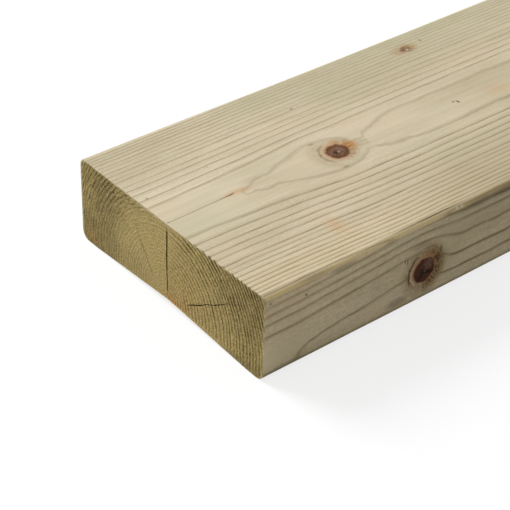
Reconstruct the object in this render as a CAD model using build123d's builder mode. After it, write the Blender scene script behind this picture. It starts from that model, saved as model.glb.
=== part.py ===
"""A length of sawn softwood: one solid with eased arrises, an underside hollowed by drying and checks in one end.

The plank lies flat along X with the checked end towards -X. Its origin is under the middle, where it rests.
"""

import os

from build123d import *

# Sawn size, in millimetres
length = 2400.0
width = 150.0
thickness = 50.0

# Section: rounded long edges, and two feet either side of the hollow that opens under the heart
arris_radius = 5.0
foot_width = 11.5
hollow_rise = 3.8
hollow_crown_radius = 100.0

# Drying checks in the near end: how wide each one gapes there and how far it runs in
heart_check_mouth = 1.3
heart_check_depth = 60.0
slant_check_mouth = 1.0
slant_check_depth = 45.0
short_check_mouth = 0.6
short_check_depth = 20.0

# Where each check lies on the end: the inner and outer tips as shares of half the width and of the thickness,
# and how far along it gapes the most
heart_check_shares = {"inner": (0.004, 0.17), "outer": (0.004, 0.948), "widest": 0.8}
slant_check_shares = {"inner": (-0.21, 0.184), "outer": (-0.627, 0.612), "widest": 0.6}
short_check_shares = {"inner": (0.193, 0.3), "outer": (0.261, 0.438), "widest": 0.5}

# A check closes to this share of its mouth at its root
check_root_share = 0.2

half_width = width / 2
hollow_edge = half_width - foot_width
near_end = -length / 2
checks = (
    (heart_check_shares, heart_check_mouth, heart_check_depth),
    (slant_check_shares, slant_check_mouth, slant_check_depth),
    (short_check_shares, short_check_mouth, short_check_depth),
)

os.makedirs("parts", exist_ok=True)

with BuildPart() as plank:
    # The section, carried along the whole length
    with BuildSketch(Plane.YZ.offset(near_end)) as section:
        with BuildLine():
            Polyline(
                (0, hollow_rise),
                (hollow_edge, 0),
                (half_width, 0),
                (half_width, thickness),
                (-half_width, thickness),
                (-half_width, 0),
                (-hollow_edge, 0),
                close=True,
            )
        make_face()
        sides = section.vertices().group_by(Axis.X)
        fillet(sides[0] + sides[-1], radius=arris_radius)
        crown = section.vertices().sort_by_distance((0, hollow_rise))[0]
        fillet(crown, radius=hollow_crown_radius)
    extrude(amount=length)

    # The checks: a thin four-sided mouth on the near end, drawn along the check, that narrows to its root
    for shares, mouth, depth in checks:
        inner_y, inner_z = shares["inner"]
        outer_y, outer_z = shares["outer"]
        inner_tip = Vector(near_end, inner_y * half_width, inner_z * thickness)
        along = Vector(near_end, outer_y * half_width, outer_z * thickness) - inner_tip
        inner_reach = along.length * shares["widest"]
        outer_reach = along.length - inner_reach
        widest_point = inner_tip + along * shares["widest"]
        mouth_plane = Plane(origin=widest_point, x_dir=along, z_dir=(1, 0, 0))
        for plane, closing_share in ((mouth_plane, 1), (mouth_plane.offset(depth), check_root_share)):
            with BuildSketch(plane):
                with BuildLine():
                    Polyline(
                        (-inner_reach, 0),
                        (0, -mouth / 2),
                        (outer_reach, 0),
                        (0, mouth / 2),
                        close=True,
                    )
                make_face()
                scale(by=closing_share)
        loft(mode=Mode.SUBTRACT)

plank.part.label = "plank"
export_step(plank.part, "parts/plank.step")
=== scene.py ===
"""A sawn softwood plank with its growth rings, knots and drying checks, and the stage that it lies on.

The wood's own formulas are in millimetres: s runs along the plank from its checked end, y across it and z up.
"""

import math
from collections import namedtuple

import bpy
import numpy as np
from mathutils import Matrix, Vector


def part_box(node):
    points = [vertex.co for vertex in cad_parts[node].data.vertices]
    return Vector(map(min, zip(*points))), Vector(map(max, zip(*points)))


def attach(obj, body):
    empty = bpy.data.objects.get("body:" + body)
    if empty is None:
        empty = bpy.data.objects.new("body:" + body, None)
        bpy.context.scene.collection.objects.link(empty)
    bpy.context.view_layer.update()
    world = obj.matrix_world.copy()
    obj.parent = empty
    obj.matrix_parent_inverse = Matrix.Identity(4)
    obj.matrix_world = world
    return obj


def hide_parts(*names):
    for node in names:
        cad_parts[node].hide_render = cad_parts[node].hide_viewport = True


bl_info = {
    "name": "Sawn Timber Plank",
    "version": (1, 0, 0),
    "blender": (4, 5, 0),
    "location": "View3D > Sidebar > Timber",
    "description": "A softwood plank with growth rings, knots and drying checks, and a plain stage for it",
    "category": "Add Mesh",
}

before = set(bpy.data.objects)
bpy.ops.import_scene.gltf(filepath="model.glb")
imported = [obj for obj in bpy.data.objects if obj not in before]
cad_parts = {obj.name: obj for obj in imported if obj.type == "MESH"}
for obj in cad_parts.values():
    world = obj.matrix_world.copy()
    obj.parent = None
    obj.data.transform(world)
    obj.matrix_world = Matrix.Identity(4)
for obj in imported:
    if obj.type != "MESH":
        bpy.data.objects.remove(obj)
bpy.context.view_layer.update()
plank_low, plank_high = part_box("plank")
plank_size = plank_high - plank_low

MM = 0.001

# Where the heart of the log lies in the section
PITH_Y = 0.7
PITH_Z = 4.7

# The width of each year's growth, from the heart outwards
RING_WIDTHS = (
    4.5, 2.7, 1.8, 2.0, 2.5, 2.5, 2.7, 3.3, 3.6, 3.5, 3.4, 3.5, 3.4, 5.3, 3.5, 2.6,
    3.0, 2.9, 2.6, 4.0, 2.0, 2.5, 2.5, 2.6, 2.1, 2.6, 2.1, 2.0, 2.1, 2.1, 2.2, 2.3,
)

# A knot: its place along the plank, its direction from the heart in degrees from +y, its radius at the face,
# how much it swells the rings before it and thins them behind it, how red it is, how long it is drawn out
# and how strongly it shows
Knot = namedtuple("Knot", "along turn radius swell dip redness drawn strength", defaults=(1.0, 1.0))
KNOTS = (
    Knot(109.6, 91.5, 6.3, 1.7, 2.4, 0.2, 1.05),
    Knot(103.6, 168.5, 7.4, 0.0, 0.0, 1.0),
    Knot(212.6, 38.6, 1.75, 0.3, 0.0, 0.3, 2.3, 0.8),
    Knot(548.0, 62.0, 7.0, 1.2, 1.0, 0.4),
    Knot(556.0, 17.0, 8.0, 1.4, 1.0, 0.7),
    Knot(541.0, 139.0, 4.5, 0.8, 0.6, 0.2),
    Knot(1010.0, 104.0, 7.5, 1.5, 1.2, 0.5),
    Knot(1022.0, 171.0, 6.0, 1.2, 0.8, 0.6),
    Knot(1034.0, 9.0, 5.0, 0.9, 0.6, 0.3),
    Knot(1475.0, 76.0, 6.5, 1.3, 1.0, 0.3),
    Knot(1483.0, 158.0, 7.2, 1.3, 1.0, 0.8),
    Knot(1930.0, 122.0, 8.0, 1.5, 1.2, 0.6),
    Knot(1941.0, 28.0, 6.4, 1.2, 0.8, 0.4),
)

# Where a knot fades out, in its radii, the least share of its size that it has by the heart, how far noise
# bends its outline, and the sizes between which it turns into a small one
KNOT_FADE = (2.8, 3.6)
KNOT_LEAST_SHARE = 0.05
KNOT_WARP = 2.6
SMALL_KNOT = (3.4, 2.4)

# What is kept of the nearest knot at each point of the skin
KNOT_FIELDS = ("knot_along", "knot_across", "knot_size", "knot_red", "knot_near")

# A drying check: its direction at the rim, how far it turns towards its inner tip and how fast, its inner and
# outer distance from the heart, how wide it gapes at each tip, and how deep it runs
Check = namedtuple("Check", "turn bend fade inner outer inner_gape outer_gape depth")
CHECKS = (
    Check(89.9, 2.4, 8.0, 1.4, 43.6, 0.75, 1.35, 40.0),
    Check(151.2, 12.0, 16.0, 16.2, 54.0, 0.7, 0.45, 25.0),
    Check(50.0, -18.0, 14.0, 14.0, 29.0, 0.36, 0.3, 6.0),
)

# The least half gape between a check's lips
CHECK_LEAST = 0.1

# The fine check along the top: where it starts across the plank and ends along it, how far it drifts for each
# millimetre along and until where, half its gape, its depth and how much shade is painted in it
TOP_CHECK_Y = 0.9
TOP_CHECK_END = (34, 47)
TOP_CHECK_DRIFT = 0.022
TOP_CHECK_DRIFT_END = 60
TOP_CHECK_HALF_GAPE = 0.17
TOP_CHECK_DEPTH = 0.9
TOP_CHECK_SHADE = 0.85

# Stains of resin: place along, across and up, reach along and across, and strength
Stain = namedtuple("Stain", "along across up reach spread strength")
STAINS = (
    Stain(44.0, 1.6, 50.0, 7.5, 2.0, 0.6),
    Stain(64.5, -50.0, 50.0, 4.0, 8.5, 0.5),
    Stain(223.0, -6.0, 50.0, 9.0, 6.5, 0.3),
    Stain(132.0, 19.0, 50.0, 9.0, 2.5, 0.18),
    Stain(212.0, 57.5, 50.0, 9.0, 2.0, 0.5),
    Stain(0.0, -1.0, 5.5, 4.0, 3.4, 1.0),
    Stain(0.0, -5.5, 5.0, 4.0, 2.6, 0.8),
    Stain(0.0, 18.0, 5.5, 4.0, 3.0, 0.45),
    Stain(0.0, -13.0, 7.0, 4.0, 2.6, 0.4),
    Stain(0.0, 67.0, 6.0, 4.0, 4.0, 0.7),
    Stain(0.0, -13.0, 14.0, 4.0, 17.0, 0.2),
)

# Dark flecks, where a bud or a pin-sized hole shows: place along, across and up, length, breadth and strength
Fleck = namedtuple("Fleck", "along across up length breadth strength")
FLECKS = (
    Fleck(25.0, -75.0, 41.3, 0.9, 0.8, 0.95),
    Fleck(3.0, -75.0, 46.0, 0.9, 1.0, 0.6),
    Fleck(89.6, -75.0, 31.0, 0.5, 2.0, 0.7),
    Fleck(91.4, -75.0, 30.6, 0.5, 2.4, 0.85),
    Fleck(193.4, -0.9, 50.0, 1.3, 1.2, 0.55),
    Fleck(195.6, -2.4, 50.0, 1.0, 2.0, 0.75),
    Fleck(226.6, 60.2, 50.0, 0.8, 2.2, 0.5),
    Fleck(117.5, 46.2, 50.0, 2.2, 0.7, 0.55),
    Fleck(102.6, 12.6, 50.0, 2.6, 1.0, 0.4),
    Fleck(103.6, -14.0, 50.0, 3.0, 1.2, 0.35),
    Fleck(31.0, -73.6, 48.8, 14.0, 1.6, 0.25),
    Fleck(48.0, -74.9, 47.0, 12.0, 1.8, 0.35),
    Fleck(140.0, -75.0, 47.0, 20.0, 3.2, 0.42),
    Fleck(160.0, -75.0, 47.2, 26.0, 3.4, 0.5),
    Fleck(86.0, -75.0, 8.0, 9.0, 3.6, 0.36),
    Fleck(99.0, -75.0, 37.4, 9.0, 2.6, 0.3),
    Fleck(114.5, -75.0, 29.0, 1.0, 3.0, 0.5),
    Fleck(46.0, 28.3, 50.0, 1.2, 0.7, 0.3),
    Fleck(57.0, 6.0, 50.0, 11.0, 2.4, 0.14),
    Fleck(5.0, 23.8, 50.0, 1.4, 0.8, 0.5),
)

# Pale chips, in the same terms as the flecks
CHIPS = (
    Fleck(123.8, -74.0, 48.9, 1.1, 1.0, 1.0),
    Fleck(127.2, -74.2, 48.8, 1.2, 1.0, 1.0),
)

# How many faces the skin has along each stretch of the section
UNDER_STEPS = 20
LOW_ROUND_STEPS = 6
BACK_STEPS = 22
BACK_ROUND_STEPS = 8
TOP_STEPS = 190
FRONT_ROUND_STEPS = 9
FRONT_STEPS = 46

# The rows of the skin: shares of the way from the heart to the rim over each sawn end, places from an end
# that follow its torn edge, places over the stretch that shows most, and how many rows follow, up to which
# margin
CHECKED_END_SHARES = np.array((*np.linspace(0, 0.98, 55), 0.991, 1))
FAR_END_SHARES = np.linspace(1, 0, 15)[1:]
EDGE_PLACES = np.array((0.12, 0.3, 0.6, 1.0, 1.6, 2.4, 3.4, 4.7, 6.2, 8.0))
CLOSE_END = 320
CLOSE_PLACES = np.concatenate((np.arange(10, 150, 2.0), np.arange(150, CLOSE_END, 3.4)))
WIDE_ROWS = 50
END_MARGIN = 10

# The flat map: the left and low corner of each sawn end's room and its width, where the sides are cut across,
# the left, low, width and height of each length's room, and the strip and room that the faces in view get
END_CORNERS = ((0.004, 0.752), (0.512, 0.752))
END_ROOM = 0.484
SIDE_CUTS = (CLOSE_END, 1010, 1700)
SIDE_BOXES = (
    (0.004, 0.004, 0.5, 0.736),
    (0.512, 0.004, 0.484, 0.238),
    (0.512, 0.252, 0.484, 0.238),
    (0.512, 0.5, 0.484, 0.238),
)
VIEW_STRIP = 6
VIEW_ROOM = 2.0

# How far the sawn ends and the faces wave, how far the upper arrises stand out at the front and at the back,
# how much of that the back loses on the way, and what sets the dents of the four arrises apart
END_WAVE = 0.09
FACE_WAVE = 0.03
FRONT_CRISP = 0.9
BACK_CRISP = 0.6
BACK_LOSS = 0.4
SIDES_APART = 400
LEVELS_APART = 900

# Edges that turn by more degrees than this are shaded sharp
SHARP_TURN = 38

# How many random heights a ripple repeats after, a distance beyond all knots, and the least size to divide by
RIPPLE_HEIGHTS = 1024
FAR_OFF = 1e9
SLIGHT = 1e-6
LEAST_STEP = 0.1

# What the colour of the narrow sides, and of the open cells of the end grain, is multiplied by
FLANK_TINT = (1.06, 1.005, 0.91)
CELL_SHADE = (0.56, 0.53, 0.425)

# The wood's shine, and how rough its two grains are and how deep their bumps, in metres
WOOD_SHINE = 0.1
LONG_GRAIN_ROUGHNESS = 0.74
END_GRAIN_ROUGHNESS = 0.85
LONG_GRAIN_BUMP = 0.0001
END_GRAIN_BUMP = 0.0003


def srgb(red, green, blue):
    """A colour read off a screen, from 0 to 255, as the linear colour that shaders use."""
    shares = np.array((red, green, blue)) / 255
    linear = np.where(shares <= 0.04045, shares / 12.92, ((shares + 0.055) / 1.055) ** 2.4)
    return tuple(float(share) for share in linear)


def number_property(name, description, default, **kind):
    """A number."""
    return bpy.props.FloatProperty(name=name, description=description, default=default, **kind)


def length_property(name, description, millimetres):
    """A length that is shown in the scene's units."""
    return number_property(name, description, millimetres * MM, unit="LENGTH", precision=4)


def vector_property(name, description, default, subtype, **kind):
    """Three numbers."""
    return bpy.props.FloatVectorProperty(
        name=name, description=description, default=default, subtype=subtype, size=3, **kind
    )


def colour_property(name, description, *colour):
    """A colour given as it looks on a screen."""
    return vector_property(name, description, srgb(*colour), "COLOR", min=0, max=1)


class TimberShape(bpy.types.PropertyGroup):
    """The sizes that the plank is sawn to and the wear on its edges."""

    length: length_property("Length", "Length of the plank", plank_size.x / MM)
    width: length_property("Width", "Width of the plank", plank_size.y / MM)
    thickness: length_property("Thickness", "Thickness of the plank", plank_size.z / MM)
    arris: length_property("Arris", "Radius of the rounded long edges", 5.0)
    foot: length_property("Foot", "Flat strip under each long edge", 11.5)
    hollow: length_property("Hollow", "Rise of the hollow underside", 3.8)
    crown: length_property("Crown", "Radius of the crown of the hollow", 100.0)
    tear: length_property("Tear", "Depth of the torn fibres round the sawn ends", 0.5)
    wear: length_property("Wear", "Depth of the dents and wear along the arrises", 0.2)


class TimberColours(bpy.types.PropertyGroup):
    """The colours of the wood, and of the shade and glints painted on it."""

    pale: colour_property("Pale wood", "Sapwood of the sawn faces", 224, 212, 185)
    deep: colour_property("Deep wood", "Darker drifts of the sawn faces", 178, 165, 136)
    green: colour_property("Green tint", "Tint left by the preservative", 186, 180, 150)
    pink: colour_property("Pink drifts", "Rosy drifts of the sawn faces", 214, 193, 167)
    arris: colour_property("Arris", "Yellower wood on the worn arrises", 226, 202, 140)
    # Pale torn fibres, which round the rim of a sawn end also paint the light that the rim catches
    fibre: colour_property("Torn fibre", "Pale fibres torn up along the sawn ends", 212, 197, 158)
    latewood: colour_property("Latewood", "Dark line that ends each year's growth", 142, 124, 94)
    end_gold: colour_property("End gold", "End grain round the heart", 213, 190, 130)
    end_olive: colour_property("End olive", "Darker end grain towards the bark", 172, 154, 104)
    end_line: colour_property("End lines", "Latewood on the end grain", 84, 68, 32)
    resin: colour_property("Resin", "Orange stain of resin", 199, 140, 84)
    ash: colour_property("Ash", "Greyer wood before a knot", 185, 169, 142)
    # Painted shade: a dark line along the crease where the top meets the front arris, also laid under the low
    # arrises
    painted_edge_shade: colour_property("Brink", "Dark line where the top meets the arris", 80, 62, 34)
    knot_halo: colour_property("Knot halo", "Pinkish wood round a knot", 183, 154, 122)
    knot_amber: colour_property("Knot amber", "Resin behind a dry knot", 178, 127, 69)
    knot_dusk: colour_property("Knot dusk", "Olive wood behind a red knot", 148, 118, 78)
    knot_rust: colour_property("Knot rust", "Rusty line round a knot", 184, 124, 92)
    # Painted glints on the knots, and the pale middle of a small knot
    knot_gleam: colour_property("Knot gleam", "Pale flecks in and beside a knot", 226, 200, 172)
    knot_brown: colour_property("Knot brown", "Heart of a dry knot", 123, 94, 70)
    knot_umber: colour_property("Knot umber", "Outer ring of a dry knot", 121, 82, 50)
    knot_maroon: colour_property("Knot maroon", "Heart of a red knot", 88, 46, 31)
    knot_mauve: colour_property("Knot mauve", "Greyer patch in a knot", 129, 103, 88)
    knot_rim: colour_property("Knot rim", "Dark strokes round a knot", 66, 38, 19)
    knot_black: colour_property("Knot crack", "Cracks in a red knot", 30, 12, 6)
    # Painted shade inside the drying checks
    gap: colour_property("Gap", "Inside of a drying check", 40, 27, 10)


class TimberStage(bpy.types.PropertyGroup):
    """The camera, lamps and floor."""

    camera_place: vector_property(
        "Camera", "Where the camera stands", (-1.59276, -0.53019, 0.51585), "TRANSLATION"
    )
    camera_aim: vector_property("Aim", "The way the camera looks", (0.52114, 0.61557, -0.59118), "DIRECTION")
    camera_roll: number_property("Roll", "Lean of the camera", math.radians(1.838), subtype="ANGLE")
    camera_lens: number_property("Lens", "Focal length in millimetres", 117.42)
    camera_start: number_property("Near limit", "Where the camera's view starts", 0.01, unit="LENGTH")
    key_place: vector_property("Key place", "Where the large lamp hangs", (-2.3, 4.0, 3.3), "TRANSLATION")
    key_size: number_property("Key size", "Width of the large lamp", 2.6, unit="LENGTH")
    key_power: number_property("Key lamp", "Power of the large lamp", 308, unit="POWER")
    sky: number_property("Sky", "Strength of the light from all round", 0.45)
    floor_half: number_property("Floor half", "Half the floor's width", 40.0, unit="LENGTH")
    floor: colour_property("Floor", "Colour of the floor", 255, 255, 255)
    floor_glow: number_property("Glow", "Share of the floor's white that no shadow dims", 0.78)
    floor_bounce: colour_property("Bounce", "Colour that the floor gives back to the plank", 188, 188, 184)


# Formulas for the wood


def rise(start, end, place):
    """Goes from 0 at start to 1 at end with level ends."""
    share = np.clip((place - start) / (end - start), 0, 1)
    return share * share * (3 - 2 * share)


def hill(place, middle, reach):
    """A rounded hill, 1 at its middle, that falls to about a third at its reach."""
    return np.exp(-(((place - middle) / reach) ** 2))


def ripple(place, period, seed):
    """A random ripple between -1 and 1: seeded heights a period apart, joined by curves with level ends."""
    heights = np.random.default_rng(seed).uniform(-1, 1, RIPPLE_HEIGHTS)
    step = np.asarray(place) / period
    first = np.floor(step).astype(int)
    share = rise(0, 1, step - first)
    return heights[first % heights.size] * (1 - share) + heights[(first + 1) % heights.size] * share


def from_heart(y, z):
    """Distance from the heart of the log and direction in degrees, from +y towards +z."""
    return np.hypot(y - PITH_Y, z - PITH_Z), np.degrees(np.arctan2(z - PITH_Z, y - PITH_Y))


def knot_place(knot, s, y, z):
    """Place in a knot's own frame: along the plank, across the knot, and out along its axis."""
    turn = math.radians(knot.turn)
    across = (z - PITH_Z) * math.cos(turn) - (y - PITH_Y) * math.sin(turn)
    out = (y - PITH_Y) * math.cos(turn) + (z - PITH_Z) * math.sin(turn)
    return s - knot.along, across, out


def knot_reach(knot, shape):
    """Distance from the heart to the face that a knot comes out of: the nearer of the top and the side."""
    turn = math.radians(knot.turn)
    to_top = (shape["thickness"] - PITH_Z) / max(math.sin(turn), SLIGHT)
    to_side = (shape["width"] / 2 - math.copysign(PITH_Y, math.cos(turn))) / max(abs(math.cos(turn)), SLIGHT)
    return min(to_top, to_side)


def ring_radius(s, y, z):
    """Radius at which a point's wood grew at the checked end.

    The distance from the heart, less the drift of the rings along the plank, plus their lean to one side,
    less a swell before each knot, plus a dip behind it. On the front the rings bow out towards the red knot
    and sink behind it, and all of them waver a little along the plank.
    """
    radius, turn = from_heart(y, z)
    moved = 3.45 * rise(13, 137, s) * hill(turn, 108, 55) * (1 - 0.5 * rise(300, 1500, s))
    moved = moved - 0.62 * np.cos(np.radians(turn)) * (radius - 45) / 20
    for knot in KNOTS:
        along, across, out = knot_place(knot, s, y, z)
        facing = rise(0, 20, out)
        moved = moved + facing * knot.swell * hill(along, -12, 12) * hill(across, 0, 15.5)
        moved = moved - facing * knot.dip * hill(along, 21, 17) * hill(across, 0, 15)
    front = rise(-30, -60, y) * (1 - rise(260, 420, s))
    passed = rise(94, 132, s)
    moved = moved + front * (0.6 + 0.6 * rise(20, 85, s)) * (1 - passed) * hill(z, 40.4, 21.4)
    moved = moved - front * 0.3 * (1 - rise(15, 45, s)) * hill(z, 5, 10)
    moved = moved - front * 2.4 * passed * hill(z, 24.6, 11.5)
    moved = moved + 0.12 * ripple(s, 17, 3) * rise(20, 60, radius)
    moved = moved + 0.3 * ripple(s, 170, 4) * rise(200, 400, s)
    return radius - moved


def ring_number(s, y, z):
    """How many years' growth lie inside a point, in whole and part years, and the width of its own year."""
    radius = ring_radius(s, y, z)
    edges = np.concatenate(([0], np.cumsum(RING_WIDTHS)))
    middles = edges[:-1] + np.diff(edges) / 2
    return np.interp(radius, edges, np.arange(edges.size)), np.interp(radius, middles, RING_WIDTHS)


# The skin of the plank


def bottom_height(y, shape):
    """Height of the underside: two flat feet, then slopes that meet in a rounded crown over the middle."""
    slope_start = shape["width"] / 2 - shape["foot"]
    slope = shape["hollow"] * (1 - np.abs(y) / slope_start)
    lean = math.atan(shape["hollow"] / slope_start)
    crown_top = shape["hollow"] - shape["crown"] * (1 / math.cos(lean) - 1)
    arc = crown_top - shape["crown"] + np.sqrt(shape["crown"] ** 2 - y**2)
    return np.maximum(np.where(np.abs(y) < shape["crown"] * math.sin(lean), arc, slope), 0)


def corner(y, z, radius, start, steps):
    """A quarter round about a centre, from a starting angle in degrees, without its last point."""
    angle = np.radians(start + 90 * np.arange(steps) / steps)
    return np.stack((y + radius * np.cos(angle), z + radius * np.sin(angle)))


def run(y_ends, z_ends, steps):
    """A straight run between two points, without its last point."""
    share = np.arange(steps) / steps
    return np.stack([ends[0] + (ends[1] - ends[0]) * share for ends in (y_ends, z_ends)])


def step_round(values):
    """The step from the point before to the point after, round the section."""
    return np.roll(values, -1, axis=-1) - np.roll(values, 1, axis=-1)


def section_outline(shape):
    """The section, round from under the heart by +y, the top and -y: straight runs between quarter rounds.

    Returns the points' y and z and the unit normal that points into the wood.
    """
    arris = shape["arris"]
    edge = shape["width"] / 2
    inner = edge - arris
    top = shape["thickness"]
    upper = top - arris
    stretches = (
        run((0, inner), (0, 0), UNDER_STEPS),
        corner(inner, arris, arris, -90, LOW_ROUND_STEPS),
        run((edge, edge), (arris, upper), BACK_STEPS),
        corner(inner, upper, arris, 0, BACK_ROUND_STEPS),
        run((inner, -inner), (top, top), TOP_STEPS),
        corner(-inner, upper, arris, 90, FRONT_ROUND_STEPS),
        run((-edge, -edge), (upper, arris), FRONT_STEPS),
        corner(-inner, arris, arris, 180, LOW_ROUND_STEPS),
        run((-inner, 0), (0, 0), UNDER_STEPS),
    )
    y, z = np.concatenate(stretches, axis=1)
    z = np.where(z < arris * 0.01, bottom_height(y, shape), z)
    size = np.hypot(step_round(y), step_round(z))
    return y, z, -step_round(z) / size, step_round(y) / size


def row_places(shape):
    """The rows of the skin: the share of the way from the heart to the rim, and the place along the plank.

    The first rows widen over the checked end, the next run along the plank, close together where most is to
    be seen, and the last narrow over the far end.
    """
    length = shape["length"]
    wide = np.linspace(CLOSE_END, length - END_MARGIN, WIDE_ROWS)
    sides = np.concatenate((EDGE_PLACES, CLOSE_PLACES, wide, length - EDGE_PLACES[::-1], [length]))
    share = np.concatenate((CHECKED_END_SHARES, np.ones(sides.size), FAR_END_SHARES))
    along = np.concatenate((0 * CHECKED_END_SHARES, sides, 0 * FAR_END_SHARES + length))
    return share, along


def end_tear(s, y, z, shape):
    """How far the rim of a sawn end is worn back.

    A rough strip all round, deeper along the top, and on the front half of the top teeth where the soft early
    wood tore out and the hard late wood stayed.
    """
    year, _ = ring_number(s, y, z)
    soft = 1 - rise(0.45, 0.8, year - np.floor(year))
    around = y - 2 * z
    upper = rise(40, 50, z)
    rough = 0.5 + 0.35 * ripple(around, 1.5, 11) + 0.15 * ripple(around, 6, 12)
    toothed = upper * rise(-10, -24, y) * (1 - 0.6 * rise(-36, -56, y)) * (1 - rise(-68, -73, y))
    toothed = toothed * (0.8 + 0.8 * ripple(around, 4.3, 13))
    return shape["tear"] * ((0.25 + 0.75 * upper) * rough + toothed * soft)


def worn_rim(s, y, z, into_y, into_z, shape):
    """The outline at each row after wear.

    It is set in by a torn quarter round at both ends, dents along the arrises and slight waves on the faces,
    and set out on the two upper arrises, which are crisper than the lower ones.
    """
    length = shape["length"]
    from_end = np.minimum(s, length - s)
    tear = end_tear(np.where(s < length / 2, 0, length), y, z, shape)
    short = np.clip(tear - from_end, 0, None)
    inset = tear - np.sqrt(np.maximum(tear**2 - short**2, 0))
    round_edge = np.minimum(np.abs(into_y), np.abs(into_z)) / math.sqrt(0.5)
    apart = np.sign(y) * SIDES_APART + np.sign(z - shape["thickness"] / 2) * LEVELS_APART
    dents = 0.5 + 0.4 * ripple(s + apart, 120, 21) + 0.1 * ripple(s + apart, 23, 22)
    inset = inset + shape["wear"] * np.clip(dents, 0, 1) * round_edge
    inset = inset + FACE_WAVE * (1 + ripple(s + 3 * y, 90, 23)) * (1 - round_edge)
    back_crisp = BACK_CRISP - BACK_LOSS * rise(25, 150, s) + BACK_LOSS * rise(220, 330, s)
    crisp = np.where(y < 0, FRONT_CRISP, back_crisp)
    inset = inset - crisp * round_edge * rise(0, 60, np.abs(y)) * rise(25, 40, z)
    edge = shape["width"] / 2
    return np.clip(y + into_y * inset, -edge, edge), np.clip(z + into_z * inset, 0, shape["thickness"])


def check_opening(check, radius):
    """Half the gape of a check, how open it is and where it holds, at a distance from the heart.

    The gape goes evenly from the inner tip's to the outer tip's, with ragged sides, and closes at both tips.
    """
    share = (radius - check.inner) / (check.outer - check.inner)
    gape = check.inner_gape + (check.outer_gape - check.inner_gape) * share
    ragged = 1 + 0.18 * ripple(radius, 2.3, 31) + 0.12 * ripple(radius, 0.9, 32)
    opened = rise(0, 0.12, share) * (1 - rise(0.9, 1, share))
    held = rise(check.inner - 2, check.inner, radius) * (1 - rise(check.outer, check.outer + 1.2, radius))
    return np.maximum(gape * ragged * opened / 2, CHECK_LEAST), opened, held


def end_skin(share, rim_y, rim_z, checks):
    """A sawn end as rays from the heart to the rim, bent and parted round its drying checks.

    A point lies at its share of the way along its ray. Round a check the rays turn to follow its path, the
    rays beside it stand back by half its gape, and its own ray sinks into the wood. Returns y, z, the depth
    and how much shade is painted into the check.
    """
    reach, turn = from_heart(rim_y, rim_z)
    radius = share * reach
    turned = turn
    depth = np.zeros_like(radius)
    dark = np.zeros_like(radius)
    columns = np.arange(turn.shape[1])
    for check in checks:
        root = int(np.argmin(np.abs(turn[-1] - check.turn)))
        root_turn = turn[:, root:root + 1]
        away = np.radians(turn - root_turn)
        inwards = np.exp(-np.maximum(radius - check.inner, 0) / check.fade)
        bend = check.bend * (inwards + 0.08 * ripple(radius, 7, 33)) + check.turn - root_turn
        beside_it = hill(np.degrees(away), 0, max(abs(check.bend) * 1.4, 8))
        turned = turned + bend * (1 - share**6) * beside_it
        half, opened, held = check_opening(check, radius)
        beside = np.abs(radius * away)
        lip = np.abs(columns - root) == 1
        parted = np.where(lip, held * (half - beside), half * held * np.exp(-beside / 4))
        turned = turned + np.degrees(np.sign(columns - root) * parted / np.maximum(radius, 0.5))
        middle = columns == root
        depth = depth + middle * check.depth * opened * held
        # Painted shade down the middle ray of each check
        dark = dark + middle * np.minimum(opened * held * 3, 1)
    angle = np.radians(turned)
    return PITH_Y + radius * np.cos(angle), PITH_Z + radius * np.sin(angle), depth, dark


def plank_skin(shape):
    """The whole skin as one grid, closed at the heart on both ends.

    Rows run from the heart of the checked end to its rim, along the plank and in to the heart of the far end.
    Columns run round the section. The sawn ends wave slightly, and a fine check goes on from the upright one
    along the top: its column sinks and the two beside it close in. Returns the places s, y and z, how much
    shade is painted on each point for lying in a check, and each row's share and place along.
    """
    outline_y, outline_z, into_y, into_z = section_outline(shape)
    share, along = row_places(shape)
    s = np.repeat(along[:, None], outline_y.size, axis=1)
    rim_y, rim_z = worn_rim(s, outline_y, outline_z, into_y, into_z, shape)
    y, z = rim_y.copy(), rim_z.copy()
    dark = np.zeros_like(s)

    near = along <= 0
    far = along >= shape["length"]
    for rows, checks, inward in ((near, CHECKS, 1), (far, (), -1)):
        out = share[rows, None]
        y[rows], z[rows], depth, dark[rows] = end_skin(out, rim_y[rows], rim_z[rows], checks)
        wave = END_WAVE * (1 + ripple(y[rows] + 0.7 * z[rows], 11, 41)) * (1 - out**8)
        s[rows] = s[rows] + inward * (depth + wave)

    on_top = outline_z > shape["thickness"] - 0.01
    root = int(np.argmin(np.where(on_top, np.abs(outline_y - TOP_CHECK_Y), FAR_OFF)))
    body = ~(near | far)
    place = s[body]
    open_top = rise(0, 2, place) * (1 - rise(*TOP_CHECK_END, place))
    drift = TOP_CHECK_DRIFT * np.minimum(place, TOP_CHECK_DRIFT_END) * rise(0, 3, place)
    drift = drift + 0.12 * ripple(place, 6, 51) * open_top
    away = outline_y - outline_y[root]
    y[body] = y[body] + on_top * drift * hill(away, 0, 5)
    columns = np.arange(outline_y.size)
    lip = np.abs(columns - root) == 1
    y[body] = y[body] - on_top * lip * np.sign(away) * (np.abs(away) - TOP_CHECK_HALF_GAPE) * open_top
    z[body] = z[body] - (columns == root) * TOP_CHECK_DEPTH * open_top
    # Painted shade along the sunken column of the top check
    dark[body] = (columns == root) * open_top * TOP_CHECK_SHADE
    return s, y, z, dark, share, along


# What the shaders need to know


def face_slope(s, y, z):
    """How many millimetres of growth a millimetre on the face crosses: the steepest slope over the grid."""
    radius = ring_radius(s, y, z)
    along = np.gradient(radius, axis=0) / np.maximum(np.abs(np.gradient(s, axis=0)), LEAST_STEP)
    around = step_round(radius) / np.maximum(np.hypot(step_round(y), step_round(z)), LEAST_STEP)
    return np.clip(np.hypot(along, around), 0.05, 1)


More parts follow.
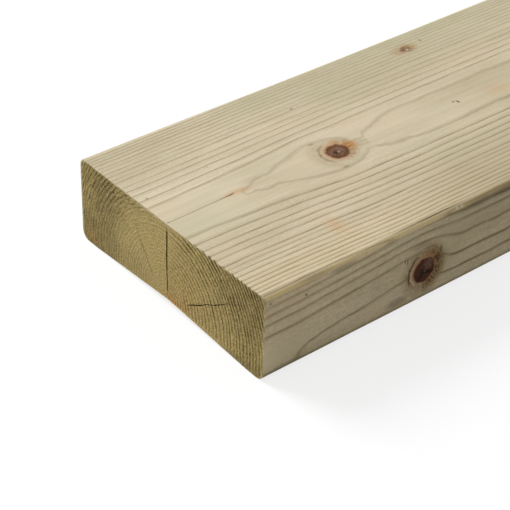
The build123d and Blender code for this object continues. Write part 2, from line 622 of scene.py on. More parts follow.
def knot_fields(s, y, z, shape):
    """The place in the nearest knot's frame, and that knot's radius, redness and strength.

    The nearest knot is the one that is fewest of its own radii away. A knot widens evenly from the heart to
    the face, and its strength fades out around it.
    """
    nearest = np.full(s.shape, FAR_OFF)
    fields = {name: np.zeros_like(s) for name in KNOT_FIELDS}
    for knot in KNOTS:
        ahead, across, out = knot_place(knot, s, y, z)
        size = knot.radius * np.maximum(out / knot_reach(knot, shape), KNOT_LEAST_SHARE)
        ahead = ahead / knot.drawn
        ratio = np.where(out > 0, np.hypot(ahead, across) / size, FAR_OFF)
        closer = ratio < nearest
        nearest = np.where(closer, ratio, nearest)
        for name, value in zip(KNOT_FIELDS, (ahead, across, size, knot.redness, knot.strength)):
            fields[name] = np.where(closer, value, fields[name])
    fields["knot_size"] = np.where(nearest < FAR_OFF, fields["knot_size"], 1)
    fields["knot_near"] = fields["knot_near"] * (1 - rise(*KNOT_FADE, nearest))
    return fields


def end_marks(y, z):
    """How strongly the rings mark a sawn end and how dark its wood is.

    Both rise from the heart to the bark, in one way left of the upright check and in another right of it.
    """
    radius, turn = from_heart(y, z)
    right = rise(87, 112, turn)
    upper = rise(2, 38, z)
    left_mark = 0.06 + 0.3 * rise(42, 60, radius)
    right_mark = 0.42 + 0.34 * rise(30, 58, radius) * (0.5 + 0.5 * upper)
    left_shade = 1 - 0.5 * rise(15, 30, z) * rise(58, 66, y) - 0.4 * rise(30, 42, z) * rise(50, 40, y)
    left_dark = rise(36, 56, radius) * left_shade + 0.45 * rise(22, 8, z) * rise(8, 24, y)
    right_dark = 0.02 + 0.55 * rise(-26, -54, y) * (0.15 + 0.85 * upper) + 0.3 * rise(-54, -68, y)
    return (1 - right) * left_mark + right * right_mark, (1 - right) * left_dark + right * right_dark


def wood_fields(s, y, z, dark, share, shape):
    """What the shaders need to know of the wood at each point of the skin, by attribute name.

    growth is the ring number, line_room the width of a year on the face, gap how much shade is painted
    on a point in a check, and stain how much resin there is. ring_mark and end_dark are for the sawn ends.
    arris goes from 0 to 1 round the long edges, and flank is 1 on the narrow sides. torn is 1 at the rim of a
    sawn end, and frayed is 1 where the rim's fibres stand up.
    """
    year, width = ring_number(s, y, z)
    fields = {"growth": year, "line_room": width / face_slope(s, y, z), "gap": dark}
    fields.update(knot_fields(s, y, z, shape))

    stain = np.zeros_like(s)
    for mark in STAINS:
        across = np.hypot(y - mark.across, z - mark.up)
        stain = stain + mark.strength * hill(s, mark.along, mark.reach) * hill(across, 0, mark.spread)
    fields["stain"] = np.clip(stain, 0, 1)
    fields["ring_mark"], fields["end_dark"] = end_marks(y, z)

    edge = shape["width"] / 2
    middle = shape["thickness"] / 2
    round_size = shape["arris"] * (1 - 0.4 * rise(0, -60, y) * rise(25, 40, z))
    out_y = np.abs(y) - (edge - round_size)
    out_z = np.abs(z - middle) - (middle - round_size)
    fields["arris"] = np.clip(np.minimum(out_y, out_z) / (0.7 * round_size), 0, 1)
    fields["flank"] = rise(edge - 2.5, edge - 0.3, np.abs(y))

    on_end = share[:, None] < 1
    from_end = np.minimum(s, shape["length"] - s)
    from_rim = from_heart(y, z)[0] * (1 / np.maximum(share[:, None], 0.01) - 1)
    fields["torn"] = np.where(on_end, 1 - rise(0.3, 1.5, from_rim), 1 - rise(0.1, 0.7, from_end))
    loose = np.maximum(rise(-8, -25, y) * (1 - rise(-66, -72, y)), 0.7 * rise(38, 50, y))
    fields["frayed"] = np.where(on_end, rise(43, 49, z) * loose, 0)
    return fields


# The mesh


def faces_from(row, column, *steps):
    """The corners of many like faces: each starts at its own row and column and goes by the same steps."""
    return np.stack([np.stack((row + down, column + on), 1) for down, on in steps], 1).reshape(-1, 2)


def skin_faces(rows, columns):
    """The skin's faces: triangles round the heart at both ends, and quads between each two rows.

    Each corner is given as its row and its column, counted on past the last column to close the seam, so that
    a map of the skin can be cut there. Corners are in outward order.
    """
    column = np.arange(columns)
    first = faces_from(0 * column, column, (0, 0), (1, 1), (1, 0))
    last = faces_from(0 * column + rows - 2, column, (0, 0), (0, 1), (1, 0))
    row, column = (part.ravel() for part in np.meshgrid(np.arange(1, rows - 2), column, indexing="ij"))
    quads = faces_from(row, column, (0, 0), (0, 1), (1, 1), (1, 0))
    sizes = np.concatenate((np.full(columns, 3), np.full(row.size, 4), np.full(columns, 3)))
    return np.concatenate((first, quads, last)), sizes


def keep_points(grid):
    """A grid's values as the mesh has them: one for each end row, all of every other row."""
    return np.concatenate((grid[0, :1], grid[1:-1].ravel(), grid[-1, :1]))


def bake_places(corners, face_row, share, along, y, z, shape):
    """A flat map of the skin in which no two faces overlap, finest where the grain is closest.

    Both ends lie as they are. The sides are unrolled in four lengths, the one at the checked end the largest,
    and the faces that show most get more room round the section.
    """
    row, column = corners.T
    wrapped = column % y.shape[1]
    rim_row = int(np.argmax(share >= 1))
    far_row = share.size - int(np.argmax(share[::-1] >= 1)) - 1

    outline_y, outline_z = section_outline(shape)[:2]
    step = np.hypot(np.roll(outline_y, -1) - outline_y, np.roll(outline_z, -1) - outline_z)
    on_front = outline_y < -shape["width"] / 2 + VIEW_STRIP
    on_top = outline_z > shape["thickness"] - VIEW_STRIP
    step = step * np.where(on_front | on_top, VIEW_ROOM, 1.0)
    around = np.concatenate(([0], np.cumsum(step))) / step.sum()

    places = np.zeros((row.size, 2))
    for chosen, (left, low) in zip((face_row < rim_row, face_row >= far_row), END_CORNERS):
        places[chosen, 0] = left + END_ROOM * (0.5 + y[row, wrapped] / shape["width"])[chosen]
        places[chosen, 1] = low + END_ROOM * (z[row, wrapped] / shape["width"])[chosen]
    cuts = [rim_row, *(int(np.argmax(along >= cut)) for cut in SIDE_CUTS), far_row]
    for first, last, (left, low, wide, high) in zip(cuts, cuts[1:], SIDE_BOXES):
        chosen = (face_row >= first) & (face_row < last)
        run_share = (along[row] - along[first]) / (along[last] - along[first])
        places[chosen, 0] = left + wide * run_share[chosen]
        places[chosen, 1] = low + high * around[column][chosen]
    return places


def make_plank_mesh(name, shape):
    """The plank's mesh, with its fields as attributes, its flat map, and the ends on the second material."""
    s, y, z, dark, share, along = plank_skin(shape)
    rows, columns = s.shape
    corners, sizes = skin_faces(rows, columns)
    index = np.arange(rows * columns).reshape(rows, columns)
    index = np.where(np.arange(rows)[:, None] == 0, 0, index - (columns - 1))
    index[-1] = index[-2, -1] + 1

    mesh = bpy.data.meshes.new(name)
    parts = (plank_low.x / MM + s, y, plank_low.z / MM + z)
    points = np.stack([keep_points(part) for part in parts], axis=1) * MM
    mesh.vertices.add(len(points))
    mesh.vertices.foreach_set("co", points.ravel().astype(np.float32))
    mesh.loops.add(len(corners))
    mesh.loops.foreach_set("vertex_index", index[corners[:, 0], corners[:, 1] % columns].astype(np.int32))
    starts = np.concatenate(([0], np.cumsum(sizes)[:-1]))
    mesh.polygons.add(len(sizes))
    mesh.polygons.foreach_set("loop_start", starts.astype(np.int32))

    face_row = np.minimum.reduceat(corners[:, 0], starts)
    on_end = (share[face_row] < 1) | (share[np.minimum(face_row + 1, rows - 1)] < 1)
    mesh.polygons.foreach_set("material_index", on_end.astype(np.int32))
    mesh.update(calc_edges=True)

    for field, values in wood_fields(s, y, z, dark, share, shape).items():
        attribute = mesh.attributes.new(field, "FLOAT", "POINT")
        attribute.data.foreach_set("value", keep_points(values).astype(np.float32))
    bake_map = mesh.uv_layers.new(name="OFBake")
    places = bake_places(corners, np.repeat(face_row, sizes), share, along, y, z, shape)
    bake_map.uv.foreach_set("vector", places.ravel().astype(np.float32))
    mesh.shade_smooth()
    mesh.set_sharp_from_angle(angle=math.radians(SHARP_TURN))
    return mesh


# Shaders


class Value:
    """A node's output. Sums, products and shares of values add the Math nodes that work them out."""

    def __init__(self, nodes, socket):
        self.nodes = nodes
        self.socket = socket

    def math(self, operation, *others):
        return self.nodes.add("ShaderNodeMath", {"operation": operation}, dict(enumerate((self, *others))))

    def __add__(self, other):
        return self.math("ADD", other)

    def __sub__(self, other):
        return self.math("SUBTRACT", other)

    def __mul__(self, other):
        return self.math("MULTIPLY", other)

    def __truediv__(self, other):
        return self.math("DIVIDE", other)

    def __rsub__(self, other):
        return self.nodes.add("ShaderNodeMath", {"operation": "SUBTRACT"}, {0: other, 1: self})

    __radd__ = __add__
    __rmul__ = __mul__

    def rise(self, start, end, low=0.0, high=1.0):
        """Goes from low at start to high at end with level ends."""
        inputs = {"Value": self, "From Min": start, "From Max": end, "To Min": low, "To Max": high}
        return self.nodes.add("ShaderNodeMapRange", {"interpolation_type": "SMOOTHSTEP"}, inputs)

    def band(self, start, peak, end):
        """A hump that is 0 at start and end and 1 at its peak."""
        return self.rise(start, peak) * (1 - self.rise(peak, end))

    def mix(self, first, second, blend="MIX"):
        """Goes from the first colour to the second as this value goes from 0 to 1."""
        settings = {"data_type": "RGBA", "blend_type": blend, "clamp_factor": True}
        return self.nodes.add("ShaderNodeMix", settings, {"Factor": self, "A": first, "B": second}, "Result")


class Nodes:
    """The node tree of a material or world, filled from Python expressions."""

    def __init__(self, owner):
        owner.use_nodes = True
        self.tree = owner.node_tree
        self.tree.nodes.clear()

    def add(self, kind, settings=None, inputs=None, output=0):
        """Adds a node, makes its settings, sets or links its inputs, and returns one of its outputs."""
        node = self.tree.nodes.new(kind)
        for name, value in (settings or {}).items():
            setattr(node, name, value)
        for key, value in (inputs or {}).items():
            socket = self.pick(node.inputs, key)
            if isinstance(value, Value):
                self.tree.links.new(value.socket, socket)
            elif socket.type == "RGBA":
                socket.default_value = (*value[:3], 1)
            else:
                socket.default_value = value
        return Value(self, self.pick(node.outputs, output)) if node.outputs else None

    def pick(self, sockets, key):
        """A socket by its number, or by its name among those in use."""
        if isinstance(key, int):
            return sockets[key]
        return next(socket for socket in sockets if socket.name == key and socket.enabled)

    def attribute(self, name):
        return self.add("ShaderNodeAttribute", {"attribute_name": name}, output="Fac")

    def ray(self, kind):
        """1 for one kind of ray and 0 for all others."""
        return self.add("ShaderNodeLightPath", output=f"Is {kind} Ray")

    def split(self, vector):
        """A vector's three parts."""
        node = self.add("ShaderNodeSeparateXYZ", {}, {0: vector}).socket.node
        return tuple(Value(self, socket) for socket in node.outputs)

    def join(self, x, y, z=0.0):
        """A vector from its three parts."""
        return self.add("ShaderNodeCombineXYZ", {}, {"X": x, "Y": y, "Z": z})

    def place(self):
        """The point in millimetres, counted along the plank from its checked end."""
        point = self.add("ShaderNodeTexCoord", output="Object")
        inputs = {"Vector": point, "Location": (-plank_low.x / MM, 0, 0), "Scale": (1 / MM,) * 3}
        return self.add("ShaderNodeMapping", {"vector_type": "POINT"}, inputs)

    def noise(self, point, scale, detail=2.0, roughness=0.5, shift=0.0):
        """Soft noise about 0, with a scale in waves per millimetre, one for all axes or one along each."""
        scale = scale if isinstance(scale, tuple) else (scale,) * 3
        spot = self.add("ShaderNodeMapping", {}, {"Vector": point, "Location": (shift,) * 3, "Scale": scale})
        inputs = {"Vector": spot, "Scale": 1.0, "Detail": detail, "Roughness": roughness}
        return self.add("ShaderNodeTexNoise", {}, inputs) - 0.5


def paint(colour, *coats):
    """Lays coats over a colour in turn: how thickly each covers, its colour and, if not plain, its blend."""
    for cover, *coat in coats:
        colour = cover.mix(colour, *coat)
    return colour


def year_hash(nodes, year):
    """A number between 0 and 1 that is the same all through one year's growth."""
    settings = {"noise_dimensions": "1D"}
    return nodes.add("ShaderNodeTexWhiteNoise", settings, {"W": year.math("FLOOR")}, "Value")


def fleck_mask(nodes, point, flecks):
    """Small rounded spots, each stretched to its own length and breadth."""
    total = None
    for fleck in flecks:
        scale = (1 / fleck.length, 1 / fleck.breadth, 1 / fleck.breadth)
        centre = (fleck.along, fleck.across, fleck.up)
        offset = nodes.add("ShaderNodeVectorMath", {"operation": "SUBTRACT"}, {0: point, 1: centre})
        scaled = nodes.add("ShaderNodeVectorMath", {"operation": "MULTIPLY"}, {0: offset, 1: scale})
        far = nodes.add("ShaderNodeVectorMath", {"operation": "LENGTH"}, {0: scaled}, "Value")
        spot = far.rise(0.25, 1.1, fleck.strength, 0)
        total = spot if total is None else total.math("MAXIMUM", spot)
    return total


def finish_wood(nodes, colour, roughness, height, depth):
    """The wood's shader: a dull surface with a bump that is so many metres deep."""
    normal = nodes.add("ShaderNodeBump", {}, {"Strength": 1.0, "Distance": depth, "Height": height})
    inputs = {
        "Base Color": colour,
        "Roughness": roughness,
        "Specular IOR Level": WOOD_SHINE,
        "Normal": normal,
    }
    shader = nodes.add("ShaderNodeBsdfPrincipled", {}, inputs)
    nodes.add("ShaderNodeOutputMaterial", {}, {"Surface": shader})


def length_of(across, down):
    """The length of a step with these two parts."""
    return (across * across + down * down).math("SQRT")


def short_crack(across, down, start, end, width):
    """A crack along a straight line from start to end, narrowing on the way."""
    reach = math.dist(start, end)
    step_across = (end[0] - start[0]) / reach
    step_down = (end[1] - start[1]) / reach
    right = across - start[0]
    low = down - start[1]
    way = (right * step_across + low * step_down) / reach
    beside = (low * step_across - right * step_down).math("ABSOLUTE") / width
    return (beside + way * 0.6).rise(1.3, 0.6) * way.rise(-0.15, 0.0) * way.rise(1.1, 0.85)


def add_knots(nodes, point, colour, tones):
    """Paints the knots over the wood: paler and duskier wood, halo, resin, strokes, ringed heart and cracks.

    A knot's frame has its middle at 0 and its rim at 1, with the plank's length to the right. What lies
    before a knot is to its left. A red knot has a painted glint, a blush and cracks, a dry one has a halo and
    resin, and a small one is blurred and flecked. Each knot has a painted glint in its heart.
    """
    near = nodes.attribute("knot_near")
    size = nodes.attribute("knot_size")
    red = nodes.attribute("knot_red")
    dry = 1 - red
    small = size.rise(*SMALL_KNOT)
    large = 1 - small
    grit = nodes.noise(point, 0.8, 3, 0.65, shift=5)
    blotch = nodes.noise(point, 0.3, 2, shift=15)
    across = (nodes.attribute("knot_along") + nodes.noise(point, 0.3, 3, 0.65, shift=3) * KNOT_WARP) / size
    down = (nodes.attribute("knot_across") + nodes.noise(point, 0.3, 3, 0.65, shift=9) * KNOT_WARP) / size
    ratio = length_of(across, down)
    right = across / (ratio + 0.001)
    low = down / (ratio + 0.001)
    strokes = nodes.noise(nodes.join(right * 6, low * 6, ratio * 1.3 + red * 9), 1.0, 3, 0.7)

    def spot(middle_across, middle_down, reach):
        """A round spot: 1 about its middle, fading to 0 at its reach."""
        return length_of(across - middle_across, down - middle_down).rise(reach, reach * 0.25)

    ash = ratio.band(1.4, 2.0, 3.0) * right.rise(0.1, -0.7) * near * dry
    dusk = ratio.rise(2.5, 1.3) * near * red
    contour = (ratio * 26 + grit * 3 + blotch * 4).math("SINE").rise(0.0, 1.0) * ratio.band(1.35, 1.6, 2.3)
    halo = (ratio + blotch * 0.5).rise(1.62, 1.26) * (right * 0.8 - low * 0.6).rise(0.85, 0.1)
    bound = (ratio + red * 0.1).band(1.37, 1.56, 1.76) * (right + 0.3 * low + 0.3 * red).rise(-0.2, -0.7)
    outer = (ratio + blotch * 0.3).band(1.62, 1.76, 1.9) * (right * 0.6 - low * 0.8).rise(0.3, 0.8)
    # Painted glint along the lower left of a red knot's rim
    gleam = ratio.band(1.16, 1.25, 1.34) * right.rise(-0.5, -0.8) * low.rise(-0.8, -0.1) * near * red
    blush = ratio.band(0.98, 1.1, 1.25) * low.rise(-0.3, -0.7) * near * red
    resin = spot(1.3, -0.2, 1.04).math("MAXIMUM", spot(0.5, -1.1, 0.8) * 0.7)
    resin = resin.math("MAXIMUM", spot(1.2, 0.55, 0.6) * 0.3) * near * dry * (1 - 0.6 * small)
    crust = (ratio + blotch * 0.6).band(0.92, 1.15, 2.0) * (right + low * 0.25).rise(-0.05, 0.5) * near
    rust = ratio.band(0.86, 1.04, 1.22) * near * (right + low * 0.6).rise(0.6, -0.2) * (1 - 0.6 * small)
    colour = paint(
        colour,
        (ash * (0.85 + blotch), tones.ash),
        (dusk * (0.52 + 0.45 * right.rise(-0.2, 0.4) + grit * 1.2 + blotch * 0.6), tones.knot_dusk),
        (contour * near * (0.26 + blotch * 1.2), tones.latewood),
        (halo * near * (1 - 0.7 * small) * (1.0 - 0.85 * red + strokes * 0.9 + grit * 0.6), tones.knot_halo),
        (spot(-1.6, 0.0, 1.6) * near * small * 0.25, tones.knot_dusk),
        (bound * near * large * (0.58 + 0.2 * red + grit + blotch), red.mix(tones.latewood, tones.knot_rim)),
        (outer * near * red * (0.3 + grit), tones.knot_rim),
        (gleam * (0.7 + grit * 1.5), tones.knot_gleam),
        (blush * (0.55 + grit), tones.knot_rust),
        (resin * (1.05 + strokes * 1.1), tones.knot_amber),
        (crust * (strokes + grit * 0.8).rise(-0.1, 0.12) * (0.2 + 0.6 * red), tones.knot_rim),
        (rust * (0.35 + 0.15 * red + grit * 1.4 + strokes), tones.knot_rust),
    )

    dry_heart = paint(
        tones.knot_brown,
        (ratio.rise(0.5, 0.8) * 1.2 + grit * 1.6 + blotch, tones.knot_umber),
        (spot(0.35, 0.0, 0.6) * (0.6 + grit * 2 - small), tones.knot_mauve),
        (spot(-0.65, -0.1, 0.5) * 0.8, tones.knot_mauve),
    )
    red_heart = paint(
        tones.knot_maroon,
        (spot(0.35, -0.4, 0.66) + blotch, tones.knot_mauve),
        (spot(-0.35, 0.45, 0.6) * (0.5 + grit * 3), tones.knot_black),
    )
    rings = (ratio * 22 + grit * 5 + blotch * 6).math("SINE") * (0.14 + 0.16 * dry)
    heart = paint(
        red.mix(dry_heart, red_heart),
        (0.4 * red + rings + grit * (1.8 + 0.8 * red) + blotch, tones.knot_rim),
        (ratio.band(0.6, 0.88, 1.1) * dry * large * (0.5 + grit * 2), tones.knot_rim),
        (spot(-0.22, 0.06, 0.42) * 0.85, tones.knot_rim),
        (small * (0.5 - across * 0.3 + grit), tones.knot_umber),
        (small * across.rise(0.3, 1.0) * 0.5, tones.knot_amber),
        (small * across.rise(0.6, -0.4) * (grit * 4 - 0.1), tones.knot_rim),
        (small * spot(0.1, 0.35, 0.55) * (0.6 + grit * 4), tones.knot_gleam),
    )
    core_start = 1.06 + dry * 0.14 + small * 0.1
    core_end = 0.9 - dry * 0.06 - small * 0.2
    core = (ratio + grit * (0.3 + 0.9 * small)).rise(core_start, core_end) * near
    crack = short_crack(across, down, (-0.25, 0.1), (0.95, 0.45), 0.2)
    crack = crack.math("MAXIMUM", short_crack(across, down, (-0.13, 0.15), (-0.55, 0.7), 0.16)) * core * red
    colour = paint(
        colour,
        (core, heart),
        (crack * 0.95, tones.knot_black),
        # Painted glint in the knot's heart, strongest on a dry knot
        (spot(0.06, 0.08, 0.17) * near * (0.54 - 0.44 * red), tones.knot_gleam),
    )
    return colour, core, crack


def long_grain(material, tones):
    """Sawn faces along the grain: latewood lines, fibres, drifts of colour, stains, knots and flecks, with
    painted shade along the top's front crease, under the low arrises, in the torn notches and in the checks,
    and a rim of pale torn fibres that also paints the light it catches.
    """
    nodes = Nodes(material)
    point = nodes.place()
    x, y, z = nodes.split(point)
    flank = nodes.attribute("flank")
    broad = 1 - flank
    arris = nodes.attribute("arris")
    torn = nodes.attribute("torn")
    front = y.rise(20, -25)
    back = y.rise(15, 35)
    far = back * x.rise(60, 150)
    heart = y.math("ABSOLUTE").rise(23, 11) * broad
    fibre = nodes.noise(point, (0.045, 1.2, 1.2), 4, 0.72, shift=2)
    weave = nodes.noise(point, (0.5, 1.1, 1.1), 3, 0.7, shift=21)
    streak = nodes.noise(point, (0.012, 0.3, 0.3), 3, 0.55, shift=6)
    dash = nodes.noise(point, (0.07, 0.5, 0.5), 3, 0.6, shift=8)
    drift = nodes.noise(point, (0.01, 0.03, 0.03), 2, shift=7)

    sway = nodes.noise(point, (0.055, 0.07, 0.07), 2, 0.5) * (0.16 + 0.2 * heart)
    year = nodes.attribute("growth") + sway + dash * 0.05
    part = year.math("FRACT")
    room = nodes.attribute("line_room")
    before = (1 - part) * room
    beside = before.math("MINIMUM", part * room * 2)
    line = (beside / (1.0 - 0.2 * back + 0.2 * far + 0.6 * flank + 1.4 * heart)).rise(1.2, 0.1)
    soft = before.rise(3.4, 0.3)
    strength = 0.68 + 0.32 * year_hash(nodes, year) + dash * 1.4 + fibre * 0.8
    strength = strength * (0.72 + 0.1 * front) * (1 - 0.3 * far) * (1 - 0.5 * heart)
    strength = strength * (1 - 0.04 * flank + 0.35 * flank * x.rise(95, 140)) * (1 - 0.4 * arris)

    busy = (1 - 0.55 * heart) * (1 - 0.2 * far)
    tone = 0.5 + drift * 0.9 + streak * 0.55 + (fibre * 0.9 + weave * (0.9 + 0.7 * flank)) * busy
    tone = tone - heart * 0.04 + x.rise(100, 240) * 0.14
    tone = tone + x.rise(80, 20) * back * (0.14 - y.rise(45, 55) * 0.14)
    tone = tone + x.band(60, 125, 190) * y.band(24, 42, 62) * 0.22
    tone = tone - x.rise(70, 110) * y.band(5, 22, 38) * 0.13
    tone = tone - flank * x.rise(110, 60) * z.band(3, 13, 26) * 0.28
    tone = tone + flank * x.rise(40, 12) * z.rise(12, 26, -0.2, 0.16)

    rosy = nodes.noise(point, (0.02, 0.05, 0.05), 2, shift=17).rise(0.0, 0.25)
    tint = nodes.noise(point, (0.012, 0.03, 0.03), 2, shift=12).rise(0.0, 0.25)
    tint = tint + y.rise(25, 75) * (0.35 + x.rise(60, 200) * 0.85)
    scratch = nodes.noise(point, (0.7, 0.05, 0.05), 3, 0.7, shift=31) * flank
    # Painted shade: a dark line along the crease where the top turns into the front arris
    along_brink = x.rise(48, 30) * 0.7 + x.rise(64, 106) * x.rise(136, 117)
    painted_edge_shade = arris.band(0.0, 0.16, 0.55) * z.rise(46.5, 48.5) * front * along_brink * (0.85 + dash * 1.5)
    # Painted shade along the low arrises, which turn down and away from the light
    under = z.rise(6, 2.5) * flank.math("MAXIMUM", arris) * (0.55 + weave)
    pores = nodes.noise(point, (0.14, 2.0, 2.0), 1, shift=14).rise(0.2, 0.3)
    ticks = nodes.noise(point, (0.2, 1.2, 1.2), 2, 0.6, shift=26).rise(0.1, 0.22)
    ticks = ticks * back * x.band(50, 130, 250) * broad
    colour = paint(
        tones.pale,
        (tone, tones.deep),
        (rosy * 0.35, tones.pink),
        (tint * 0.5, tones.green),
        (x.rise(60, 160) * y.rise(-15, -55) * broad * 0.6, tones.deep),
        (y.rise(-45, -62) * broad * x.rise(170, 60, 0.06, 0.18), tones.arris),
        (flank * 0.9 + scratch * 3, FLANK_TINT, "MULTIPLY"),
        (flank * x.rise(90, 132) * (0.02 + 0.42 * z.rise(28, 35)), tones.deep),
        (arris * (0.65 + dash * 2.0 + streak) * front, tones.arris),
        ((line * 0.8 + soft * 0.2) * strength, tones.latewood),
        # Painted shade along the front crease and under the low arrises
        (painted_edge_shade, tones.painted_edge_shade),
        (under, tones.painted_edge_shade),
        (pores * 0.3 + ticks * 0.35, tones.latewood),
        (nodes.attribute("stain") * (0.6 + fibre + streak), tones.resin),
    )
    colour, core, crack = add_knots(nodes, point, colour, tones)
    flecks = fleck_mask(nodes, point, FLECKS)
    # Painted shade in the notches that the torn early wood leaves along the top of the checked end
    notch_shade = torn * z.rise(44, 49) * y.rise(-8, -20) * part.rise(0.5, 0.7)
    colour = paint(
        colour,
        (flecks, tones.knot_rim),
        (fleck_mask(nodes, point, CHIPS), tones.pale),
        # Pale torn fibres along the rim of the sawn end, which also paint the light that the rim catches
        (torn * (0.25 + weave * 2), tones.fibre),
        (notch_shade * (0.45 + weave * 3), tones.end_line),
        # Painted shade in the drying checks
        (nodes.attribute("gap").rise(0.05, 0.6) * 0.7, tones.gap),
    )
    height = line * strength * 0.3 + fibre * 0.9 + weave * 0.7 - pores * 0.35
    height = height - core * 0.4 - crack * 1.5 - flecks * 1.2
    roughness = LONG_GRAIN_ROUGHNESS - line * 0.1 + fibre * 0.2
    finish_wood(nodes, colour, roughness, height, LONG_GRAIN_BUMP)


def end_grain(material, tones):
    """Sawn ends across the grain: ring lines, pale arcs, wisps, fine rays, open cells, stains, pale torn
    fibres round the rim that also paint the light it catches, and painted shade in the checks.
    """
    nodes = Nodes(material)
    point = nodes.place()
    y, z = nodes.split(point)[1:]
    y = y - PITH_Y
    z = z - PITH_Z
    turn = y.math("ARCTAN2", z)
    radius = length_of(y, z)
    rays = nodes.noise(nodes.join(turn * 30, radius * 0.2), 1.0, 3, 0.75)
    wisps = nodes.noise(nodes.join(turn * 8, radius * 1.3), 1.0, 3, 0.7, shift=4)
    speck = nodes.noise(point, 0.7, 3, 0.7, shift=3)
    pits = nodes.noise(point, 1.05, 1, shift=23)
    mottle = nodes.noise(point, 0.25, 3, 0.65, shift=13)
    cloud = nodes.noise(point, 0.08, 3, 0.6, shift=11)
    drift = nodes.noise(point, 0.03, 2, shift=7)
    left = y.rise(-4, 8)
    ragged = left * radius.rise(38, 52)

    smooth = nodes.attribute("growth") * 0.6 + radius * 0.2 + cloud * 0.5
    year = smooth + mottle * (0.4 + 1.1 * ragged) + speck * 0.25 + wisps * 0.2
    part = year.math("FRACT")
    late = part.rise(0.45, 0.65) * (1 - part.rise(0.88, 1.0))
    fine = (smooth * 8.67 + rays + mottle * 2.5 + wisps * 1.5).math("SINE")
    mark = nodes.attribute("ring_mark")
    frayed = nodes.attribute("frayed")
    torn = nodes.attribute("torn")
    tone = nodes.attribute("end_dark") + drift * 0.7 + cloud * 0.6 + mottle * 0.5
    grey = ragged * (mottle + cloud * 0.5).rise(0.05, 0.22)
    arcs = fine.rise(0.25, 1.0) * (1 - 1.6 * mark) * (0.8 + mottle * 2 + cloud * 2 + wisps)
    strength = mark * (0.8 + 0.4 * year_hash(nodes, year)) * (1 + rays * 1.8 + wisps * 1.5 + cloud * 2.5)
    strength = strength * (1 + frayed * 0.2 + ragged * (mottle * 4 + z.rise(18, 42) * 0.6))
    grain = 0.64 - arcs * 0.32 + wisps * (1.5 + 1.4 * mark + 1.6 * ragged) + rays * (0.7 + 0.8 * mark)
    grain = grain + speck * (0.4 + 0.8 * mark) + pits * (0.8 + 3.3 * mark)
    chaff = pits.rise(0.11, 0.2) * (1 - left) * radius.rise(20, 40) * mottle.rise(-0.1, 0.15)
    seam = short_crack(y, z, (20.5, 19.5), (27.5, 31.5), 0.5)
    lip = torn.rise(0.3, 0.8) * frayed * (1 - late) * (1 - left) * (0.7 + speck * 3)
    # Pale torn fibres round the rim, which also paint the light that the rim catches
    fringe = torn * (1 - 0.8 * frayed * (1 - left)) * (0.4 + 0.25 * left + speck * 2)
    colour = paint(
        tones.end_gold,
        (tone, tones.end_olive),
        (grey * 0.5, tones.green),
        (arcs * 0.5, tones.fibre),
        (late * strength, tones.end_line),
        (grain, CELL_SHADE, "MULTIPLY"),
        (chaff * 0.85, tones.fibre),
        (seam * 0.4, tones.end_line),
        (nodes.attribute("stain") * (0.45 + speck * 1.8 + cloud), tones.resin),
        (fringe + lip, tones.fibre),
        # Painted shade in the drying checks
        (nodes.attribute("gap").rise(0.0, 0.015), tones.gap),
    )
    height = speck * 0.8 + pits * 0.6 + rays * 0.5 + wisps * 0.6 + late * mark * 0.7
    finish_wood(nodes, colour, END_GRAIN_ROUGHNESS + speck * 0.2, height, END_GRAIN_BUMP)


# Operators


class TIMBER_OT_saw_plank(bpy.types.Operator):
    """Makes the plank's skin and its wood, in place of the plain solid"""

    bl_idname = "timber.saw_plank"
    bl_label = "Saw Plank"

    def execute(self, context):
        group = context.scene.timber_shape
        shape = {name: getattr(group, name) / MM for name in TimberShape.__annotations__}
        mesh = make_plank_mesh("plank_skin", shape)
        for name, fill in (("timber_long_grain", long_grain), ("timber_end_grain", end_grain)):
            material = bpy.data.materials.new(name)
            fill(material, context.scene.timber_colours)
            mesh.materials.append(material)
        plank = bpy.data.objects.new("plank_skin", mesh)
        context.scene.collection.objects.link(plank)
        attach(plank, "root")
        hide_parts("plank")
        return {"FINISHED"}


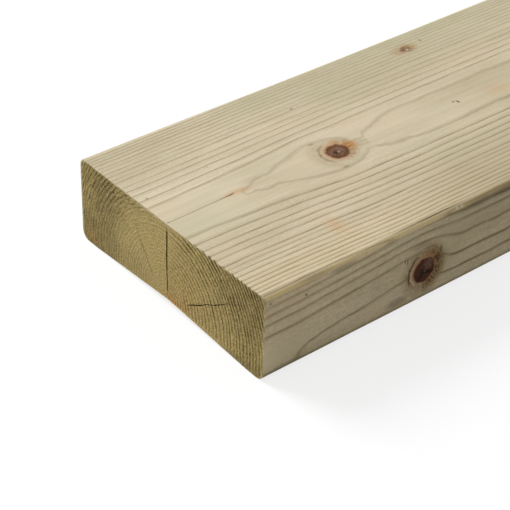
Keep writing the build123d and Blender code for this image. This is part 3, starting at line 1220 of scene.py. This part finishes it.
class TIMBER_OT_set_stage(bpy.types.Operator):
    """Lays the pale floor, hangs the soft lamps and stands the camera"""

    bl_idname = "timber.set_stage"
    bl_label = "Set Stage"

    def execute(self, context):
        stage = context.scene.timber_stage
        self.lay_floor(context, stage)
        self.hang_lamps(context, stage)
        self.stand_camera(context, stage)
        context.scene.view_settings.view_transform = "Standard"
        return {"FINISHED"}

    def lay_floor(self, context, stage):
        """A flat floor: white to the eye, with the plank's shadow on it, and duller to the plank."""
        half = stage.floor_half
        mesh = bpy.data.meshes.new("floor")
        corners = [(-half, -half, 0), (half, -half, 0), (half, half, 0), (-half, half, 0)]
        mesh.from_pydata(corners, [], [(0, 1, 2, 3)])
        material = bpy.data.materials.new("floor_white")
        nodes = Nodes(material)
        eye = (nodes.ray("Camera") + nodes.ray("Glossy") + nodes.ray("Transmission")).math("MINIMUM", 1.0)
        lit = nodes.add("ShaderNodeBsdfDiffuse", {}, {"Color": stage.floor})
        glow = nodes.add("ShaderNodeEmission", {}, {"Color": stage.floor, "Strength": 1.0})
        white = nodes.add("ShaderNodeMixShader", {}, {0: stage.floor_glow, 1: lit, 2: glow})
        dull = nodes.add("ShaderNodeBsdfDiffuse", {}, {"Color": stage.floor_bounce})
        shader = nodes.add("ShaderNodeMixShader", {}, {0: eye, 1: dull, 2: white})
        nodes.add("ShaderNodeOutputMaterial", {}, {"Surface": shader})
        mesh.materials.append(material)
        floor = bpy.data.objects.new("floor", mesh)
        context.scene.collection.objects.link(floor)

    def hang_lamps(self, context, stage):
        """A large soft lamp above, to the left and behind, and even light from all round."""
        lamp = bpy.data.lights.new("key_lamp", "AREA")
        lamp.shape = "DISK"
        lamp.size = stage.key_size
        lamp.energy = stage.key_power
        key = bpy.data.objects.new("key_lamp", lamp)
        key.location = stage.key_place
        key.rotation_euler = (-key.location).to_track_quat("-Z", "Y").to_euler()
        context.scene.collection.objects.link(key)

        world = bpy.data.worlds.new("studio")
        context.scene.world = world
        nodes = Nodes(world)
        strength = nodes.ray("Camera") * (1 - stage.sky) + stage.sky
        sky = nodes.add("ShaderNodeBackground", {}, {"Color": (1, 1, 1), "Strength": strength})
        nodes.add("ShaderNodeOutputWorld", {}, {"Surface": sky})

    def stand_camera(self, context, stage):
        """The camera, where the photograph was taken from."""
        lens = bpy.data.cameras.new("camera")
        lens.lens = stage.camera_lens
        lens.sensor_fit = "HORIZONTAL"
        lens.clip_start = stage.camera_start
        camera = bpy.data.objects.new("camera", lens)
        aim = Vector(stage.camera_aim).to_track_quat("-Z", "Y").to_matrix()
        camera.rotation_euler = (aim @ Matrix.Rotation(stage.camera_roll, 3, "Z")).to_euler()
        camera.location = stage.camera_place
        context.scene.collection.objects.link(camera)
        context.scene.camera = camera


class TIMBER_PT_plank(bpy.types.Panel):
    """The plank's sizes, colours and stage"""

    bl_idname = "TIMBER_PT_plank"
    bl_label = "Timber Plank"
    bl_space_type = "VIEW_3D"
    bl_region_type = "UI"
    bl_category = "Timber"

    def draw(self, context):
        for title, group, operator in (
            ("Shape", context.scene.timber_shape, None),
            ("Colours", context.scene.timber_colours, TIMBER_OT_saw_plank),
            ("Stage", context.scene.timber_stage, TIMBER_OT_set_stage),
        ):
            box = self.layout.box()
            box.label(text=title)
            for name in type(group).__annotations__:
                box.prop(group, name)
            if operator:
                box.operator(operator.bl_idname)


GROUPS = {"timber_shape": TimberShape, "timber_colours": TimberColours, "timber_stage": TimberStage}
CLASSES = (*GROUPS.values(), TIMBER_OT_saw_plank, TIMBER_OT_set_stage, TIMBER_PT_plank)


def register():
    for cls in CLASSES:
        bpy.utils.register_class(cls)
    for name, group in GROUPS.items():
        setattr(bpy.types.Scene, name, bpy.props.PointerProperty(type=group))


def unregister():
    for name in GROUPS:
        delattr(bpy.types.Scene, name)
    for cls in reversed(CLASSES):
        bpy.utils.unregister_class(cls)


def main():
    register()
    bpy.ops.timber.saw_plank()
    bpy.ops.timber.set_stage()


if __name__ == "__main__":
    main()
